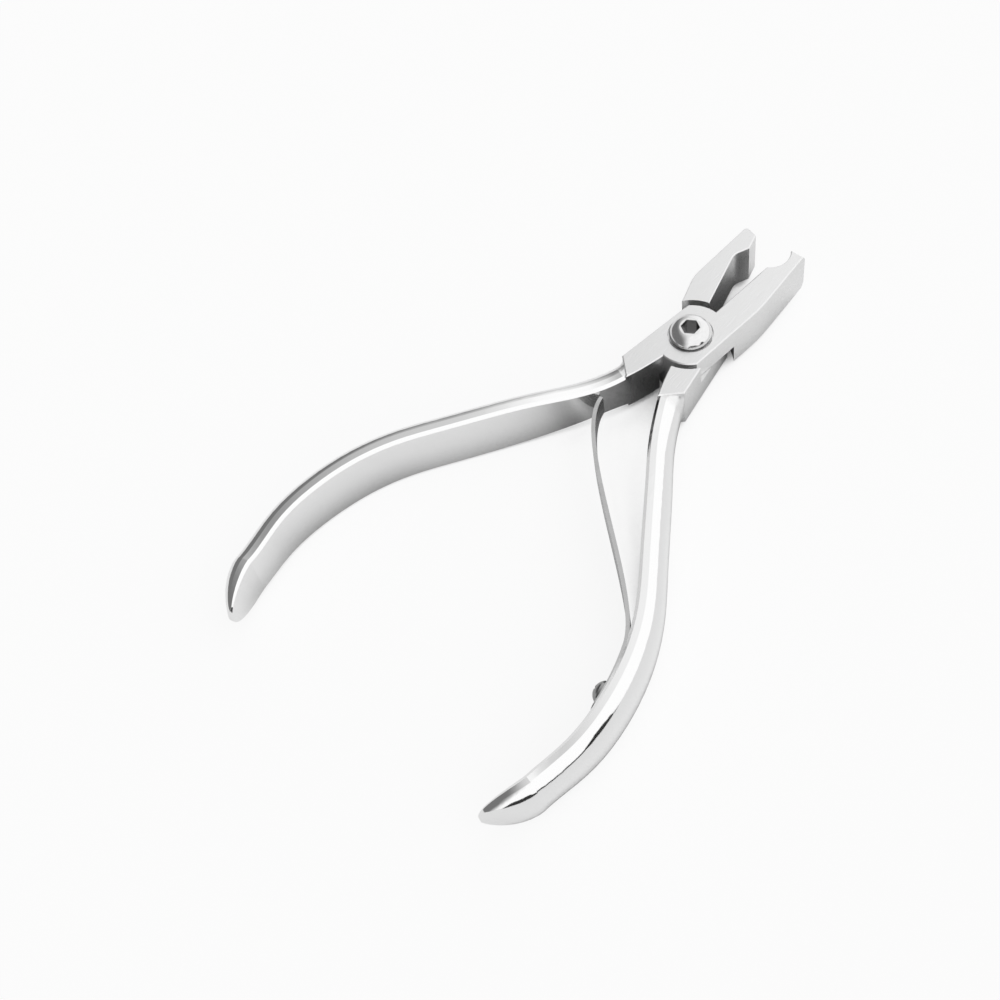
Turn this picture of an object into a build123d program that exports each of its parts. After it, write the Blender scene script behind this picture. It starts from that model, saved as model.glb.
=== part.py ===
"""Orthodontic pliers: two forged halves crossed at a lap joint, a pivot screw, a leaf spring and its screw.

Millimetres. The origin is on the pivot axis at the joint's underside.
+X runs along the centreline to the jaws, +Y to the beak jaw's side, +Z up.
"""

import os
from math import cos, pi, radians, sin

from build123d import *

# Lap joint
JOINT_THICKNESS = 9.0
LAP_RADIUS = 6.7
SHOULDER_GAP = 1.0
LAP_CLEARANCE = 0.06
EDGE_BREAK = 0.2
HEEL_ANGLE = 5.6
REAR_CORNER_ANGLE = 133.4
NECK_OUTER_ANGLE = 40.5
NECK_INNER_ANGLE = 171.0

# Both jaws, measured from the pivot to the hollow jaw's end at its top edge
JAW_LENGTH = 25.75

# Jaw with the hollow tip, on the upper half, drawn on its own -Y side
HOLLOW_LENGTH = 5.45
HOLLOW_MOUTH_Y = -1.95
HOLLOW_DEPTH_Y = -3.95
CLAW_Y = -3.3
HOLLOW_JAW_TIP_BACK_Y = -5.85
HOLLOW_JAW_HIP_X = 11.8
HOLLOW_JAW_HIP_Y = -6.65
HOLLOW_JAW_HIP_RADIUS = 30.0
NOSE_BULGE = 1.5
NOSE_CORNER_RADIUS = 1.0

# Jaw with the beak, on the lower half, drawn on its own +Y side
BEAK_LEAD = 0.25
BEAK_LENGTH = 6.7
BEAK_RIDGE_LENGTH = 3.9
BEAK_ARM_HEEL_Y = 1.6
BEAK_ARM_Y = 4.65
BEAK_RIDGE_Y = 3.3
BEAK_TIP_Y = 4.1
BEAK_TIP_SLANT = 0.8
BEAK_JAW_TIP_BACK_Y = 6.75
BEAK_JAW_HIP_X = 11.0
BEAK_JAW_HIP_Y = 7.65
BEAK_JAW_HIP_RADIUS = 8.0
BEAK_JAW_WAIST_X = 3.2
BEAK_JAW_WAIST_Y = 5.2
BEAK_JAW_WAIST_RADIUS = 8.0
BEAK_INSIDE_RADIUS = 2.5
BEAK_CORNER_RADIUS = 0.6

# Handles, along the line of their flat inner face
NECK_LENGTH = 10.2
FLANK_LENGTH = 57.8
TAIL_LENGTH = 27.5
NECK_ANGLE = 16.0
FLANK_ANGLE = 34.7
TAIL_ANGLE = 19.3
NECK_BEND_RADIUS = 45.0
BOW_RADIUS = 44.0
BLOCK_LENGTH = 7.8
BLOCK_END_WIDTH = 4.7
BLOCK_END_ANGLE = 47.0
RUN_OUT_START = 5.8
RUN_OUT_LENGTH = 2.4
RUN_OUT_FIRST_ANGLE = 25.0
NECK_STEP = 0.3
NECK_DEPTH = 4.3
NECK_END_DISTANCE = 13.6
FLARE_DISTANCE = 31.0
FLARE_HEIGHT = 11.4
FLARE_DEPTH = 4.4
GRIP_DISTANCE = 61.0
GRIP_HEIGHT = 11.8
GRIP_DEPTH = 4.5
TONGUE_LENGTH = 9.0
TONGUE_HEIGHT = 10.2
TONGUE_DEPTH = 4.2
TONGUE_END_SHARE = 0.2
TONGUE_LAST_ANGLE = 84.0
TOP_LAND = 1.6
BACK_FLAT = 0.3
HANDLE_EDGE_BREAK = 0.55
RUN_OUT_SECTIONS = 3
HANDLE_SECTIONS = 9
TONGUE_SECTIONS = 5

# Pivot screw
SCREW_SHOULDER_DIAMETER = 5.0
SCREW_THREAD_DIAMETER = 4.0
SCREW_HEAD_DIAMETER = 7.6
SCREW_HEAD_HEIGHT = 2.1
SCREW_RIM_HEIGHT = 0.6
SCREW_RIM_CHAMFER = 0.2
SCREW_CROWN_DIAMETER = 3.9
SCREW_DOME_BULGE = 0.35
SCREW_SEAT_DEPTH = 0.7
SCREW_SEAT_GAP = 0.3
SOCKET_ACROSS_FLATS = 3.0
SOCKET_DEPTH = 2.0
PIVOT_CLEARANCE = 0.03
THREAD_CLEARANCE = 0.02

# Leaf spring and its screw
SPRING_THICKNESS = 0.7
SPRING_ROOT_WIDTH = 7.0
SPRING_TIP_WIDTH = 4.5
SPRING_ROOT_FROM_END = 24.0
SPRING_SEAT_LENGTH = 12.5
SPRING_TIP_DISTANCE = 12.9
SPRING_TIP_CLEARANCE = 0.08
SPRING_SEAT_CLEARANCE = 0.04
SPRING_LIFT = 10.0
SPRING_CURL = 10.0
SPRING_CURL_ANGLE = 6.0
SPRING_CORNER_RADIUS = 1.6
SPRING_SCREW_FROM_ROOT = 4.6
SPRING_SCREW_DIAMETER = 2.0
SPRING_SCREW_LENGTH = 3.0
SPRING_SCREW_HEAD_DIAMETER = 4.0
SPRING_SCREW_HEAD_HEIGHT = 2.0
SPRING_SCREW_RIM_HEIGHT = 0.8
SPRING_SCREW_SLOT_WIDTH = 0.6
SPRING_SCREW_SLOT_DEPTH = 0.45

# Worked out from the sizes above
MID = JOINT_THICKNESS / 2
SHOULDER_RADIUS = LAP_RADIUS + SHOULDER_GAP
NECK_HEIGHT = JOINT_THICKNESS - 2 * NECK_STEP
SCREW_SEAT_LEVEL = JOINT_THICKNESS - SCREW_SEAT_DEPTH
PAST = 1.0


def polar(radius, angle):
    """A point of the plan at an angle in degrees from +X."""
    return Vector(radius * cos(radians(angle)), radius * sin(radians(angle)))


def handle_line():
    """Line of a handle's inner face in plan, from the lap circle to the handle's end, on the +Y side."""
    start = polar(LAP_RADIUS, NECK_INNER_ANGLE)
    knee = start + polar(NECK_LENGTH, 180 - NECK_ANGLE)
    crest = knee + polar(FLANK_LENGTH, 180 - FLANK_ANGLE)
    end = crest + polar(TAIL_LENGTH, 180 + TAIL_ANGLE)
    return FilletPolyline(start, knee, crest, end, radius=[NECK_BEND_RADIUS, BOW_RADIUS]).wires()[0]


def station(line, distance):
    """Plane across a plan line at a distance along it: x to the line's right-hand side, z along the line."""
    point = line.position_at(distance, position_mode=PositionMode.LENGTH)
    along = line.tangent_at(distance, position_mode=PositionMode.LENGTH)
    return Plane(origin=point + Vector(0, 0, MID), x_dir=(along.Y, -along.X, 0), z_dir=along)


def handle_section(line, distance, height, depth, rounding):
    """Section with a flat inner face, broken inner edges, flat lands and a back rounded to a share."""
    scale = depth / NECK_DEPTH
    cut = HANDLE_EDGE_BREAK * scale
    half = height / 2
    round_depth = EDGE_BREAK + (depth - TOP_LAND * scale - EDGE_BREAK) * rounding
    round_half = EDGE_BREAK + (half - BACK_FLAT * scale - EDGE_BREAK) * rounding
    shoulder = depth - round_depth
    level = half - round_half
    edges = [
        Line((0, half - cut), (0, cut - half)),
        Line((0, cut - half), (cut, -half)),
        Line((cut, -half), (shoulder, -half)),
        EllipticalCenterArc((shoulder, -level), round_depth, round_half, start_angle=-90, arc_size=90),
        Line((depth, -level), (depth, level)),
        EllipticalCenterArc((shoulder, level), round_depth, round_half, start_angle=0, arc_size=90),
        Line((shoulder, half), (cut, half)),
        Line((cut, half), (0, half - cut)),
    ]
    return station(line, distance) * make_face(edges)


def handle_shape(line, distance):
    """Height and depth of the handle at a distance along it, eased between the named stations."""
    stations = [
        (NECK_END_DISTANCE, NECK_HEIGHT, NECK_DEPTH),
        (FLARE_DISTANCE, FLARE_HEIGHT, FLARE_DEPTH),
        (GRIP_DISTANCE, GRIP_HEIGHT, GRIP_DEPTH),
        (line.length - TONGUE_LENGTH, TONGUE_HEIGHT, TONGUE_DEPTH),
    ]
    before = [place for place in stations if place[0] <= distance][-1:] or stations[:1]
    after = [place for place in stations if place[0] > distance][:1] or stations[-1:]
    span = after[0][0] - before[0][0]
    share = (distance - before[0][0]) / span if span > 0 else 0.0
    eased = (1 - cos(pi * share)) / 2
    return [low + (high - low) * eased for low, high in zip(before[0][1:], after[0][1:])]


def run_out(line):
    """Hollow run-out of the grinding, from inside the neck block to the round back."""
    first = radians(RUN_OUT_FIRST_ANGLE)
    sections = []
    for step in range(RUN_OUT_SECTIONS + 1):
        turn = first + (pi / 2 - first) * step / RUN_OUT_SECTIONS
        place = RUN_OUT_START + RUN_OUT_LENGTH * (1 - cos(turn))
        sections.append(handle_section(line, place, NECK_HEIGHT, NECK_DEPTH, sin(turn)))
    return loft(sections)


def grip(line):
    """Long bowed part of the handle, from the run-out to its tongue."""
    first = RUN_OUT_START + RUN_OUT_LENGTH
    last = line.length - TONGUE_LENGTH
    places = [first + (last - first) * step / HANDLE_SECTIONS for step in range(HANDLE_SECTIONS + 1)]
    return loft([handle_section(line, place, *handle_shape(line, place), 1) for place in places])


def tongue(line):
    """Rounded end of the handle, which thins from its back to the flat inner face."""
    sections = []
    for step in range(TONGUE_SECTIONS + 1):
        turn = radians(TONGUE_LAST_ANGLE) * step / TONGUE_SECTIONS
        place = line.length - TONGUE_LENGTH * (1 - sin(turn))
        depth = TONGUE_DEPTH * (TONGUE_END_SHARE + (1 - TONGUE_END_SHARE) * cos(turn) ** 2)
        sections.append(handle_section(line, place, TONGUE_HEIGHT * cos(turn), depth, 1))
    return loft(sections)


def handle():
    """Handle on the +Y side, from inside the neck block to its rounded end."""
    line = handle_line()
    return run_out(line) + grip(line) + tongue(line)


def neck_edges(line):
    """Plan edges of the flat neck block: out along the inner face and back along the outer side."""
    inner = line.trim(0, BLOCK_LENGTH / line.length)
    end = line.position_at(BLOCK_LENGTH, position_mode=PositionMode.LENGTH)
    inner_corner = Vector(end.X, end.Y)
    outer_corner = inner_corner + polar(BLOCK_END_WIDTH, BLOCK_END_ANGLE)
    outer_start = polar(LAP_RADIUS, NECK_OUTER_ANGLE)
    return [*inner.edges(), Line(inner_corner, outer_corner), Line(outer_corner, outer_start)]


def lap_arc(first_angle, last_angle):
    """Stretch of the round lap edge between two angles, by the shorter way."""
    angles = [first_angle, (first_angle + last_angle) / 2, last_angle]
    return ThreePointArc(*[polar(LAP_RADIUS, angle) for angle in angles])


def lap_edges():
    """Round edges of the lap plate on both sides of the pivot, for a jaw on the -Y side."""
    return [lap_arc(-HEEL_ANGLE, NECK_OUTER_ANGLE), lap_arc(NECK_INNER_ANGLE, 360 - REAR_CORNER_ANGLE)]


def hollow_jaw_corner():
    """Outer corner of the hollow jaw in plan, at the foremost point of its nose."""
    return Vector(JAW_LENGTH + NOSE_BULGE, HOLLOW_JAW_TIP_BACK_Y)


def hollow_jaw_edges():
    """Plan edges of the jaw whose tip is hollowed to a claw, out to the foremost point of its nose."""
    start = JAW_LENGTH - HOLLOW_LENGTH
    heel = polar(LAP_RADIUS, -HEEL_ANGLE)
    mouth = Vector(start, HOLLOW_MOUTH_Y)
    deepest = Vector(start + HOLLOW_LENGTH / 2, HOLLOW_DEPTH_Y)
    claw = Vector(JAW_LENGTH, CLAW_Y)
    nose = Vector(JAW_LENGTH + NOSE_BULGE, CLAW_Y)
    hip = Vector(HOLLOW_JAW_HIP_X, HOLLOW_JAW_HIP_Y)
    rear = polar(LAP_RADIUS, -REAR_CORNER_ANGLE)
    back = FilletPolyline(claw, nose, hollow_jaw_corner(), hip, rear, radius=[0, 0, HOLLOW_JAW_HIP_RADIUS])
    return [Line(heel, mouth), ThreePointArc(mouth, deepest, claw), *back.edges()]


def nose_cut():
    """Cutter that rounds the hollow jaw's end from its top edge over the nose to its bottom edge."""
    front = JAW_LENGTH + NOSE_BULGE
    beyond = front + PAST
    nose = ThreePointArc((JAW_LENGTH, 0), (front, MID), (JAW_LENGTH, JOINT_THICKNESS))
    ahead = Polyline((JAW_LENGTH, JOINT_THICKNESS), (beyond, JOINT_THICKNESS), (beyond, 0), (JAW_LENGTH, 0))
    return extrude(Plane.XZ * make_face([nose, *ahead.edges()]), amount=JAW_LENGTH, both=True)


def beak_jaw_corner():
    """Outer corner of the beak's tip in plan."""
    return Vector(JAW_LENGTH + BEAK_LEAD, BEAK_JAW_TIP_BACK_Y)


def beak_jaw_edges():
    """Plan edges of the jaw that ends in a ridged beak."""
    end = JAW_LENGTH + BEAK_LEAD
    lap_heel = polar(LAP_RADIUS, HEEL_ANGLE)
    heel = Vector(SHOULDER_RADIUS, BEAK_ARM_HEEL_Y)
    corner = Vector(end - BEAK_LENGTH, BEAK_ARM_Y)
    ridge = Vector(end - BEAK_RIDGE_LENGTH, BEAK_RIDGE_Y)
    tip = Vector(end - BEAK_TIP_SLANT, BEAK_TIP_Y)
    hip = Vector(BEAK_JAW_HIP_X, BEAK_JAW_HIP_Y)
    waist = Vector(BEAK_JAW_WAIST_X, BEAK_JAW_WAIST_Y)
    rear = polar(LAP_RADIUS, REAR_CORNER_ANGLE)
    arm = FilletPolyline(lap_heel, heel, corner, ridge, tip, radius=[0, BEAK_INSIDE_RADIUS, 0])
    back_radii = [0, BEAK_JAW_HIP_RADIUS, BEAK_JAW_WAIST_RADIUS]
    back = FilletPolyline(tip, beak_jaw_corner(), hip, waist, rear, radius=back_radii)
    return [*arm.edges(), *back.edges()]


def forged_block(edges, jaw_corner, corner_radius):
    """Flat-ground jaw, lap and neck in one plan outline, as thick as the joint and with its edges broken."""
    block = extrude(make_face(edges), amount=JOINT_THICKNESS, dir=(0, 0, 1))
    upright = block.edges().filter_by(Axis.Z).sort_by_distance(jaw_corner)[0]
    block = fillet(upright, corner_radius)
    top = block.faces().sort_by(Axis.Z)[-1]
    bottom = block.faces().sort_by(Axis.Z)[0]
    return chamfer(top.edges() + bottom.edges(), EDGE_BREAK)


def shoulder_cut(low, high):
    """Round clearance that leaves a half-thickness lap and the hollow shoulders of one half."""
    return Pos(0, 0, (low + high) / 2) * Cylinder(SHOULDER_RADIUS, high - low)


def bore(diameter, clearance):
    """Cutter for a hole on the pivot axis, with clearance on the radius."""
    return Pos(0, 0, MID) * Cylinder(diameter / 2 + clearance, JOINT_THICKNESS + 2 * PAST)


def upper_half():
    """Half with the hollow-tipped jaw at -Y, the handle at +Y and its lap plate on top."""
    outline = [*hollow_jaw_edges(), *lap_edges(), *neck_edges(handle_line())]
    block = forged_block(outline, hollow_jaw_corner(), NOSE_CORNER_RADIUS) - nose_cut()
    block -= shoulder_cut(-PAST, MID + LAP_CLEARANCE / 2)
    seat_radius = SCREW_HEAD_DIAMETER / 2 + SCREW_SEAT_GAP
    seat = Pos(0, 0, SCREW_SEAT_LEVEL + JOINT_THICKNESS / 2) * Cylinder(seat_radius, JOINT_THICKNESS)
    return block + handle() - bore(SCREW_SHOULDER_DIAMETER, PIVOT_CLEARANCE) - seat


def lower_half():
    """Half with the beak jaw at +Y, the handle at -Y, its lap plate below and the spring screw's hole."""
    mirrored = [edge.mirror(Plane.XZ) for edge in [*lap_edges(), *neck_edges(handle_line())]]
    block = forged_block([*beak_jaw_edges(), *mirrored], beak_jaw_corner(), BEAK_CORNER_RADIUS)
    block -= shoulder_cut(MID - LAP_CLEARANCE / 2, JOINT_THICKNESS + PAST)
    whole = block + handle().mirror(Plane.XZ)
    hole_end = -SPRING_SCREW_LENGTH - THREAD_CLEARANCE
    hole_radius = SPRING_SCREW_DIAMETER / 2 + THREAD_CLEARANCE
    hole = Pos(0, 0, (hole_end + PAST) / 2) * Cylinder(hole_radius, PAST - hole_end)
    return whole - bore(SCREW_THREAD_DIAMETER, THREAD_CLEARANCE) - spring_screw_seat() * hole


def pivot_screw():
    """Shouldered pivot screw with a low button head and a hexagon socket; its end is flush underneath."""
    shoulder = SCREW_SHOULDER_DIAMETER / 2
    thread = SCREW_THREAD_DIAMETER / 2
    head = SCREW_HEAD_DIAMETER / 2
    seat = SCREW_SEAT_LEVEL + PIVOT_CLEARANCE
    step = MID + LAP_CLEARANCE / 2
    rim = JOINT_THICKNESS + SCREW_RIM_HEIGHT
    top = JOINT_THICKNESS + SCREW_HEAD_HEIGHT
    crown = SCREW_CROWN_DIAMETER / 2
    outline = Polyline(
        (crown, top),
        (0, top),
        (0, 0),
        (thread, 0),
        (thread, step),
        (shoulder, step),
        (shoulder, seat),
        (head - SCREW_RIM_CHAMFER, seat),
        (head, seat + SCREW_RIM_CHAMFER),
        (head, rim),
    )
    dome = SagittaArc((crown, top), (head, rim), SCREW_DOME_BULGE)
    body = revolve(Plane.XZ * make_face([*outline.edges(), dome]), Axis.Z)
    hexagon = RegularPolygon(SOCKET_ACROSS_FLATS / 2, 6, major_radius=False)
    return body - Pos(0, 0, top - SOCKET_DEPTH) * extrude(hexagon, amount=SOCKET_DEPTH + PAST)


def spring_seat_line():
    """Line of the lower handle's inner face in plan, on the -Y side."""
    return handle_line().mirror(Plane.XZ)


def spring_screw_seat():
    """Location on the lower handle's inner face where the spring screw enters, with z out of the face."""
    line = spring_seat_line()
    place = station(line, line.length - SPRING_ROOT_FROM_END - SPRING_SCREW_FROM_ROOT)
    return Location(Plane(origin=place.origin, x_dir=place.z_dir, z_dir=place.x_dir))


def spring_line():
    """Middle line of the leaf in plan: seated along the lower handle, then free to its curled tip."""
    seat = spring_seat_line()
    other = handle_line()
    stand_off = SPRING_SEAT_CLEARANCE + SPRING_THICKNESS / 2
    root = seat.length - SPRING_ROOT_FROM_END
    lift = root - SPRING_SEAT_LENGTH
    planes = [station(seat, distance) for distance in (root, (root + lift) / 2, lift)]
    seated = [Vector(plane.origin.X, plane.origin.Y) + plane.x_dir * stand_off for plane in planes]
    leave = -planes[2].z_dir
    contact = station(other, SPRING_TIP_DISTANCE)
    arrive = polar(1, SPRING_CURL_ANGLE)
    across = polar(SPRING_THICKNESS / 2, SPRING_CURL_ANGLE + 90)
    reach = SPRING_TIP_CLEARANCE + abs(across.dot(contact.x_dir))
    tip = Vector(contact.origin.X, contact.origin.Y) - contact.x_dir * reach
    blade = Bezier(seated[2], seated[2] + leave * SPRING_LIFT, tip - arrive * SPRING_CURL, tip)
    return Wire([ThreePointArc(*seated), blade])


def leaf_spring():
    """Tapered leaf, wide where it is screwed down and narrow at its tip, with a hole for its screw."""
    line = spring_line()
    root = line.position_at(0)
    tip = line.position_at(1)
    chord = tip - root
    reach = chord.length
    strip = extrude(trace(line, SPRING_THICKNESS), amount=SPRING_ROOT_WIDTH, dir=(0, 0, 1))
    strip = Pos(0, 0, MID - SPRING_ROOT_WIDTH / 2) * strip
    side = Plane(origin=root + Vector(0, 0, MID), x_dir=chord, z_dir=chord.cross(Vector(0, 0, 1)))
    wide = SPRING_ROOT_WIDTH / 2
    narrow = SPRING_TIP_WIDTH / 2
    upper_side = [(-reach, wide), (SPRING_SEAT_LENGTH, wide), (reach, narrow), (reach + PAST, narrow)]
    lower_side = [(along, -across) for along, across in reversed(upper_side)]
    taper = Polygon(*upper_side, *lower_side, align=None)
    leaf = strip & extrude(side * taper, amount=reach, both=True)
    end_edges = leaf.faces().sort_by_distance(root + Vector(0, 0, MID))[0].edges().sort_by(Axis.Z)
    leaf = fillet([end_edges[0], end_edges[-1]], SPRING_CORNER_RADIUS)
    hole = Cylinder(SPRING_SCREW_DIAMETER / 2 + PIVOT_CLEARANCE, SPRING_SCREW_HEAD_DIAMETER)
    return leaf - spring_screw_seat() * hole


def spring_screw():
    """Small slotted screw with a low dome head, seated on the leaf."""
    shank = SPRING_SCREW_DIAMETER / 2
    head = SPRING_SCREW_HEAD_DIAMETER / 2
    hollow_of_leaf = head**2 / (2 * BOW_RADIUS)
    seat = SPRING_THICKNESS + 2 * SPRING_SEAT_CLEARANCE + hollow_of_leaf
    rim = seat + SPRING_SCREW_RIM_HEIGHT
    top = seat + SPRING_SCREW_HEAD_HEIGHT
    outline = Polyline(
        (0, top),
        (0, -SPRING_SCREW_LENGTH),
        (shank, -SPRING_SCREW_LENGTH),
        (shank, seat),
        (head, seat),
        (head, rim),
    )
    dome = TangentArc((0, top), (head, rim), tangent=(1, 0))
    body = revolve(Plane.XZ * make_face([*outline.edges(), dome]), Axis.Z)
    slot = Pos(0, 0, top) * Box(SPRING_SCREW_SLOT_WIDTH, 2 * head, 2 * SPRING_SCREW_SLOT_DEPTH)
    return spring_screw_seat() * (body - slot)


os.makedirs("parts", exist_ok=True)
export_step(upper_half(), "parts/upper_half.step")
export_step(lower_half(), "parts/lower_half.step")
export_step(pivot_screw(), "parts/pivot_screw.step")
export_step(leaf_spring(), "parts/leaf_spring.step")
export_step(spring_screw(), "parts/spring_screw.step")
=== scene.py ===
"""Looks of the orthodontic pliers: ground and polished steel on a white studio table."""

from math import cos, radians, sin

import bmesh
import bpy
from mathutils import Matrix, Vector


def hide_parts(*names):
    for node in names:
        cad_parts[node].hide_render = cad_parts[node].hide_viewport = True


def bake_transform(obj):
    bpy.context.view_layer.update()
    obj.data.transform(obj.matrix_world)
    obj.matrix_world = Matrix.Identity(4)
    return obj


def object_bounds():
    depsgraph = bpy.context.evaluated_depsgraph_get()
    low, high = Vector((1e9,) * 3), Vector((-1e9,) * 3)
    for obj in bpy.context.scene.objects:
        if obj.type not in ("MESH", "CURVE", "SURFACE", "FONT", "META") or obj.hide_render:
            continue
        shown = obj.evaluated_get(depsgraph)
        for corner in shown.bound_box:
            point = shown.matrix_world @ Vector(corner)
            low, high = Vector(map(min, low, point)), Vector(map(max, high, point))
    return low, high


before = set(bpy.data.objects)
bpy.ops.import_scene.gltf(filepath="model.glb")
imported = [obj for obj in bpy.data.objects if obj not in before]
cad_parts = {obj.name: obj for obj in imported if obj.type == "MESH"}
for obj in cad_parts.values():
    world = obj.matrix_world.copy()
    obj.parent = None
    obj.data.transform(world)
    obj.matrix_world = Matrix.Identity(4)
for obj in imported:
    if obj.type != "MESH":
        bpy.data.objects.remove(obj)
cad_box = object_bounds()

MM = 0.001

# Camera, aimed at a point of the joint's underside plane
AIM_MM = (-43.1, 9.2, 0.0)
CAMERA_DISTANCE_MM = 263.8
CAMERA_AZIMUTH = -37.97
CAMERA_ELEVATION = 57.63
CAMERA_ROLL = -13.05
LENS_MM = 54.0
SENSOR_MM = 36.0
CLIP_START = 0.01

# Studio table: its white share for the eye and for mirrored rays, and its painted shade close under the
# pliers
WHITE = (1.0, 1.0, 1.0, 1.0)
FLOOR_SIZE = 3.0
FLOOR_ALBEDO = 0.92
FLOOR_GLOW_SEEN = 0.88
FLOOR_GLOW_REFLECTED = 0.4
CONTACT_SHADE_REACH = 28.0 * MM
CONTACT_SHADE = 0.1
SEEN_OPENNESS = (0.1, 0.4)
REFLECTED_OPENNESS = (0.3, 0.8)
SHADED_OPENNESS = (0.3, 0.75)

# Studio sky, white on the camera's side and dark beyond the pliers to the camera's left
SKY_DARK_DIRECTION = (-0.5, 0.866, 0.0)
SKY_WHITE_LIMIT = -0.05
SKY_DARK_LIMIT = 0.55
SKY_WHITE = 1.15
SKY_DARK = 0.2

# Dark card on the camera's side: plan angle and height of its top edge
CARD_RADIUS = 0.32
CARD_TOP = (
    (208.0, 0.0),
    (216.0, 0.09),
    (240.0, 0.09),
    (249.0, 0.03),
    (260.0, 0.03),
    (268.0, 0.11),
    (274.0, 0.12),
    (283.0, 0.0),
)
CARD_STEPS = 76
CARD_TONE = 0.05

# Bending part of the leaf spring, from the end of its seat to its tip
LEAF_SEAT_END_MM = (-54.5, -28.4, 4.5)
LEAF_TIP_MM = (-18.8, 5.3, 4.5)
LEAF_CUTS = 24
LEAF_SHARP_ANGLE = 30.0
LEAF_WELD = 0.001 * MM

# Fine relief of all the steel, and the noise whose middle band drives its tone and roughness
BUMP_DISTANCE = 0.002 * MM
NOISE_ROUGHNESS = 0.6
NOISE_BAND = (0.3, 0.7)
MARKS_DETAIL = 3.0

# Halves: where the flat-ground block ends and the polished handle begins along X, and their finish
BLOCK_END = -13.5 * MM
BLOCK_FADE = 1.0 * MM
GRIND_SCALE = (250.0, 9000.0, 9000.0)
GRIND_DETAIL = 4.0
GRIND_ROUGHNESS = (0.26, 0.38)
GRIND_TONE = 0.8
POLISH_SCALE = (120.0, 120.0, 120.0)
POLISH_DETAIL = 2.0
POLISH_ROUGHNESS = (0.07, 0.12)
POLISH_TONE = 0.86

# Screws: turning marks, the painted shade inside the pivot's hexagon socket, and the dark tone of the
# spring's screw
TURNING_SCALE = (900.0, 900.0, 6000.0)
SCREW_ROUGHNESS = (0.1, 0.2)
SCREW_TONE = (0.74, 0.8)
SOCKET_RADIUS = 1.8 * MM
SOCKET_RIM = 10.9 * MM
PIVOT_SCREW_REACH = 20.0 * MM
SOCKET_SHADE_AND_DARK_SCREW = 0.3

# Leaf spring: rolling marks
ROLLING_SCALE = (300.0, 300.0, 7000.0)
SPRING_ROUGHNESS = (0.22, 0.34)
SPRING_TONE = (0.5, 0.58)


def new_material(name):
    """Empty node material with its output node."""
    material = bpy.data.materials.new(name)
    material.use_nodes = True
    material.node_tree.nodes.clear()
    output = material.node_tree.nodes.new("ShaderNodeOutputMaterial")
    return material, material.node_tree, output


def add_node(tree, kind, settings=None, inputs=None):
    """Shader node with its properties and input values set; an input may be another node's output."""
    node = tree.nodes.new(kind)
    for name, value in (settings or {}).items():
        setattr(node, name, value)
    for name, value in (inputs or {}).items():
        if isinstance(value, bpy.types.NodeSocket):
            tree.links.new(value, node.inputs[name])
        else:
            node.inputs[name].default_value = value
    return node


def math_node(tree, operation, first, second):
    """Result of one math operation on two numbers or sockets."""
    return add_node(tree, "ShaderNodeMath", {"operation": operation}, {0: first, 1: second}).outputs[0]


def ramp(tree, value, low, high, out_low, out_high):
    """Smooth change of a number from one level to another between two limits."""
    settings = {"interpolation_type": "SMOOTHSTEP"}
    inputs = {"Value": value, "From Min": low, "From Max": high, "To Min": out_low, "To Max": out_high}
    return add_node(tree, "ShaderNodeMapRange", settings, inputs).outputs["Result"]


def grey(tree, value):
    """Colour with the same number in each channel."""
    inputs = {"Red": value, "Green": value, "Blue": value}
    return add_node(tree, "ShaderNodeCombineColor", None, inputs).outputs["Color"]


def stretched_noise(tree, position, scale, detail):
    """Noise drawn out along the axes by a scale per axis."""
    inputs = {"Vector": position, "Scale": scale}
    stretched = add_node(tree, "ShaderNodeMapping", None, inputs).outputs["Vector"]
    inputs = {"Vector": stretched, "Scale": 1.0, "Detail": detail, "Roughness": NOISE_ROUGHNESS}
    return add_node(tree, "ShaderNodeTexNoise", None, inputs).outputs["Fac"]


def mixed(tree, share, first, second):
    """Number between two others by a share."""
    inputs = {"Factor": share, "A": first, "B": second}
    return add_node(tree, "ShaderNodeMix", {"data_type": "FLOAT"}, inputs).outputs["Result"]


def steel(tree, output, colour, roughness, height):
    """Metal shader with colour, roughness and fine relief from sockets."""
    inputs = {"Strength": 1.0, "Distance": BUMP_DISTANCE, "Height": height}
    normal = add_node(tree, "ShaderNodeBump", None, inputs).outputs["Normal"]
    inputs = {"Base Color": colour, "Roughness": roughness, "Normal": normal, "Metallic": 1.0}
    shader = add_node(tree, "ShaderNodeBsdfPrincipled", None, inputs)
    tree.links.new(shader.outputs["BSDF"], output.inputs["Surface"])


def half_material():
    """Satin-ground flats at the joint and jaws, mirror-polished handles behind them."""
    material, tree, output = new_material("polished_steel")
    position = add_node(tree, "ShaderNodeTexCoord").outputs["Object"]
    along = add_node(tree, "ShaderNodeSeparateXYZ", None, {"Vector": position}).outputs["X"]
    ground = ramp(tree, along, BLOCK_END - BLOCK_FADE, BLOCK_END + BLOCK_FADE, 0.0, 1.0)
    grind = stretched_noise(tree, position, GRIND_SCALE, GRIND_DETAIL)
    polish = stretched_noise(tree, position, POLISH_SCALE, POLISH_DETAIL)
    rough_ground = ramp(tree, grind, *NOISE_BAND, *GRIND_ROUGHNESS)
    rough_polished = ramp(tree, polish, *NOISE_BAND, *POLISH_ROUGHNESS)
    roughness = mixed(tree, ground, rough_polished, rough_ground)
    tone = ramp(tree, ground, 0.0, 1.0, POLISH_TONE, GRIND_TONE)
    height = math_node(tree, "MULTIPLY", grind, ground)
    steel(tree, output, grey(tree, tone), roughness, height)
    return material


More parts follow.
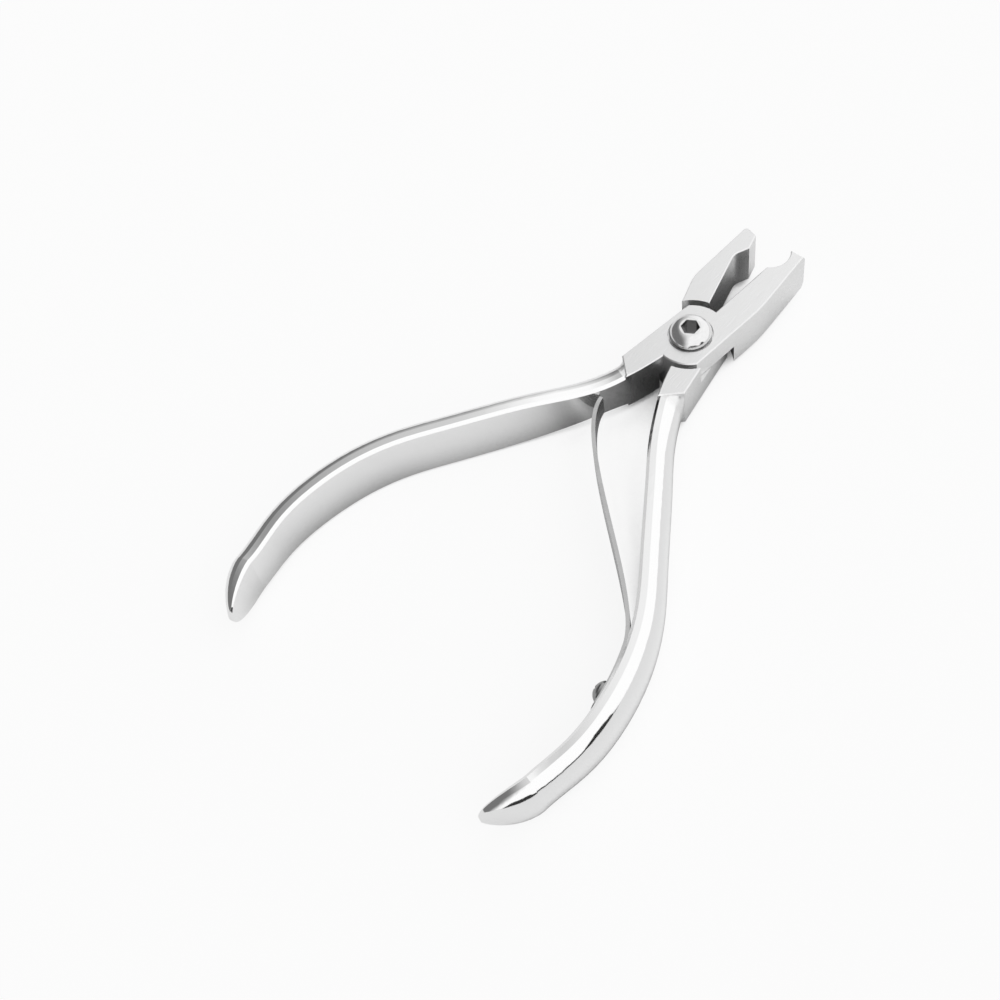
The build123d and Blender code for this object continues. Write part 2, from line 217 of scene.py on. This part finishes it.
def screw_material():
    """Polished screw steel, turning marks; painted shade in the pivot's socket; the spring's screw
    darkened.
    """
    material, tree, output = new_material("screw_steel")
    position = add_node(tree, "ShaderNodeTexCoord").outputs["Object"]
    marks = stretched_noise(tree, position, TURNING_SCALE, MARKS_DETAIL)
    roughness = ramp(tree, marks, *NOISE_BAND, *SCREW_ROUGHNESS)
    tone = ramp(tree, marks, *NOISE_BAND, *SCREW_TONE)
    inputs = {0: position, 1: (1.0, 1.0, 0.0)}
    in_plan = add_node(tree, "ShaderNodeVectorMath", {"operation": "MULTIPLY"}, inputs).outputs["Vector"]
    radius = add_node(tree, "ShaderNodeVectorMath", {"operation": "LENGTH"}, {0: in_plan}).outputs["Value"]
    level = add_node(tree, "ShaderNodeSeparateXYZ", None, {"Vector": position}).outputs["Z"]
    # Painted shade: inside the pivot's hexagon socket the colour is darkened
    within = math_node(tree, "LESS_THAN", radius, SOCKET_RADIUS)
    below = math_node(tree, "LESS_THAN", level, SOCKET_RIM)
    in_socket = math_node(tree, "MULTIPLY", within, below)
    on_spring = math_node(tree, "GREATER_THAN", radius, PIVOT_SCREW_REACH)
    shade = mixed(tree, math_node(tree, "MAXIMUM", in_socket, on_spring), tone, SOCKET_SHADE_AND_DARK_SCREW)
    steel(tree, output, grey(tree, shade), roughness, marks)
    return material


def spring_material():
    """Satin spring steel with lengthwise rolling marks."""
    material, tree, output = new_material("spring_steel")
    position = add_node(tree, "ShaderNodeTexCoord").outputs["Object"]
    marks = stretched_noise(tree, position, ROLLING_SCALE, MARKS_DETAIL)
    roughness = ramp(tree, marks, *NOISE_BAND, *SPRING_ROUGHNESS)
    tone = ramp(tree, marks, *NOISE_BAND, *SPRING_TONE)
    steel(tree, output, grey(tree, tone), roughness, marks)
    return material


def table_white(tree, openness):
    """Share of the table's plain white for the camera's rays, and for mirrored or passed rays."""
    path = add_node(tree, "ShaderNodeLightPath").outputs
    seen = ramp(tree, openness, *SEEN_OPENNESS, 0.0, FLOOR_GLOW_SEEN)
    reflected = ramp(tree, openness, *REFLECTED_OPENNESS, 0.0, FLOOR_GLOW_REFLECTED)
    direct = math_node(tree, "MULTIPLY", path["Is Camera Ray"], seen)
    bounced = math_node(tree, "MAXIMUM", path["Is Glossy Ray"], path["Is Transmission Ray"])
    return math_node(tree, "ADD", direct, math_node(tree, "MULTIPLY", bounced, reflected))


def floor_material():
    """White table with the pliers' soft shadow; painted shade darkens it close under them for mirrored
    rays.
    """
    material, tree, output = new_material("white_table")
    inputs = {"Color": WHITE, "Strength": 1.0}
    glow = add_node(tree, "ShaderNodeEmission", None, inputs).outputs["Emission"]
    inputs = {"Distance": CONTACT_SHADE_REACH}
    openness = add_node(tree, "ShaderNodeAmbientOcclusion", None, inputs).outputs["AO"]
    mirrored = add_node(tree, "ShaderNodeLightPath").outputs["Is Glossy Ray"]
    # Painted shade: for rays mirrored by the steel, the table's colour darkens where the pliers hem it in
    shaded = ramp(tree, openness, *SHADED_OPENNESS, FLOOR_ALBEDO * CONTACT_SHADE, FLOOR_ALBEDO)
    tone = grey(tree, mixed(tree, mirrored, FLOOR_ALBEDO, shaded))
    diffuse = add_node(tree, "ShaderNodeBsdfDiffuse", None, {"Color": tone}).outputs["BSDF"]
    inputs = {0: table_white(tree, openness), 1: diffuse, 2: glow}
    surface = add_node(tree, "ShaderNodeMixShader", None, inputs).outputs["Shader"]
    tree.links.new(surface, output.inputs["Surface"])
    return material


def add_floor():
    """Table top under the lowest edge of the pliers."""
    bpy.ops.mesh.primitive_plane_add(size=FLOOR_SIZE, location=(0.0, 0.0, cad_box[0][2]))
    floor = bpy.context.object
    floor.name = "table"
    floor.data.materials.append(floor_material())


def card_top(angle):
    """Height of the card's top edge at a plan angle."""
    for (first, low), (last, high) in zip(CARD_TOP, CARD_TOP[1:]):
        if angle <= last:
            return low + (high - low) * (angle - first) / (last - first)
    return CARD_TOP[-1][1]


def add_card():
    """Dark studio card, low on the camera's side, that gives the polished handle its dark stroke."""
    material, tree, output = new_material("dark_card")
    tone = (CARD_TONE, CARD_TONE, CARD_TONE, 1.0)
    diffuse = add_node(tree, "ShaderNodeBsdfDiffuse", None, {"Color": tone})
    tree.links.new(diffuse.outputs["BSDF"], output.inputs["Surface"])
    base = cad_box[0][2]
    first = CARD_TOP[0][0]
    last = CARD_TOP[-1][0]
    points = []
    for step in range(CARD_STEPS + 1):
        angle = first + (last - first) * step / CARD_STEPS
        for height in (base, base + card_top(angle)):
            points.append((CARD_RADIUS * cos(radians(angle)), CARD_RADIUS * sin(radians(angle)), height))
    faces = [(2 * step, 2 * step + 2, 2 * step + 3, 2 * step + 1) for step in range(CARD_STEPS)]
    mesh = bpy.data.meshes.new("dark_card")
    mesh.from_pydata(points, [], faces)
    mesh.materials.append(material)
    card = bpy.data.objects.new("dark_card", mesh)
    bpy.context.scene.collection.objects.link(card)
    card.visible_camera = False


def add_world():
    """Studio surroundings: plain white to the camera, and the graded sky to the steel and the table."""
    world = bpy.data.worlds.new("studio")
    bpy.context.scene.world = world
    world.use_nodes = True
    tree = world.node_tree
    tree.nodes.clear()
    output = tree.nodes.new("ShaderNodeOutputWorld")
    direction = add_node(tree, "ShaderNodeTexCoord").outputs["Generated"]
    settings = {"operation": "DOT_PRODUCT"}
    inputs = {0: direction, 1: SKY_DARK_DIRECTION}
    nearness = add_node(tree, "ShaderNodeVectorMath", settings, inputs).outputs["Value"]
    level = ramp(tree, nearness, SKY_WHITE_LIMIT, SKY_DARK_LIMIT, SKY_WHITE, SKY_DARK)
    inputs = {"Color": grey(tree, level), "Strength": 1.0}
    light = add_node(tree, "ShaderNodeBackground", None, inputs).outputs["Background"]
    inputs = {"Color": WHITE, "Strength": 1.0}
    white = add_node(tree, "ShaderNodeBackground", None, inputs).outputs["Background"]
    seen = add_node(tree, "ShaderNodeLightPath").outputs["Is Camera Ray"]
    surface = add_node(tree, "ShaderNodeMixShader", None, {0: seen, 1: light, 2: white}).outputs["Shader"]
    tree.links.new(surface, output.inputs["Surface"])


def add_camera():
    """Camera high beyond the ends of the handles, rolled about its own axis."""
    data = bpy.data.cameras.new("camera")
    data.lens = LENS_MM
    data.sensor_width = SENSOR_MM
    data.clip_start = CLIP_START
    camera = bpy.data.objects.new("camera", data)
    bpy.context.scene.collection.objects.link(camera)
    azimuth = radians(CAMERA_AZIMUTH)
    elevation = radians(CAMERA_ELEVATION)
    back = Vector((sin(azimuth) * cos(elevation), -cos(azimuth) * cos(elevation), sin(elevation)))
    aim = Vector(AIM_MM) * MM
    turn = back.to_track_quat("Z", "Y").to_matrix().to_4x4()
    place = Matrix.Translation(aim + back * CAMERA_DISTANCE_MM * MM)
    camera.matrix_world = place @ turn @ Matrix.Rotation(radians(CAMERA_ROLL), 4, "Z")
    bpy.context.scene.camera = camera


def dress(node, material):
    """Gives a node of the frame one material."""
    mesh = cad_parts[node].data
    mesh.materials.clear()
    mesh.materials.append(material)


def add_leaf(material):
    """Leaf spring cut fine along its length, from the end of its seat to its tip, in place of the frame's
    leaf spring.
    """
    fine = bmesh.new()
    fine.from_mesh(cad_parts["leaf_spring"].data)
    bmesh.ops.remove_doubles(fine, verts=fine.verts, dist=LEAF_WELD)
    seat_end = Vector(LEAF_SEAT_END_MM) * MM
    tip = Vector(LEAF_TIP_MM) * MM
    for step in range(1, LEAF_CUTS):
        parts = [*fine.verts, *fine.edges, *fine.faces]
        place = seat_end.lerp(tip, step / LEAF_CUTS)
        bmesh.ops.bisect_plane(fine, geom=parts, plane_co=place, plane_no=tip - seat_end)
    fine.verts.index_update()
    points = [tuple(vert.co) for vert in fine.verts]
    faces = [[vert.index for vert in face.verts] for face in fine.faces]
    fine.free()
    mesh = bpy.data.meshes.new("bending_leaf")
    mesh.from_pydata(points, [], faces)
    mesh.shade_smooth()
    mesh.set_sharp_from_angle(angle=radians(LEAF_SHARP_ANGLE))
    mesh.materials.append(material)
    leaf = bpy.data.objects.new("bending_leaf", mesh)
    bpy.context.scene.collection.objects.link(leaf)
    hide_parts("leaf_spring")
    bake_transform(leaf)


add_camera()
add_world()
add_floor()
add_card()

halves = half_material()
screws = screw_material()
dress("upper_half", halves)
dress("lower_half", halves)
dress("pivot_screw", screws)
dress("spring_screw", screws)
add_leaf(spring_material())

bpy.context.scene.view_settings.view_transform = "Standard"
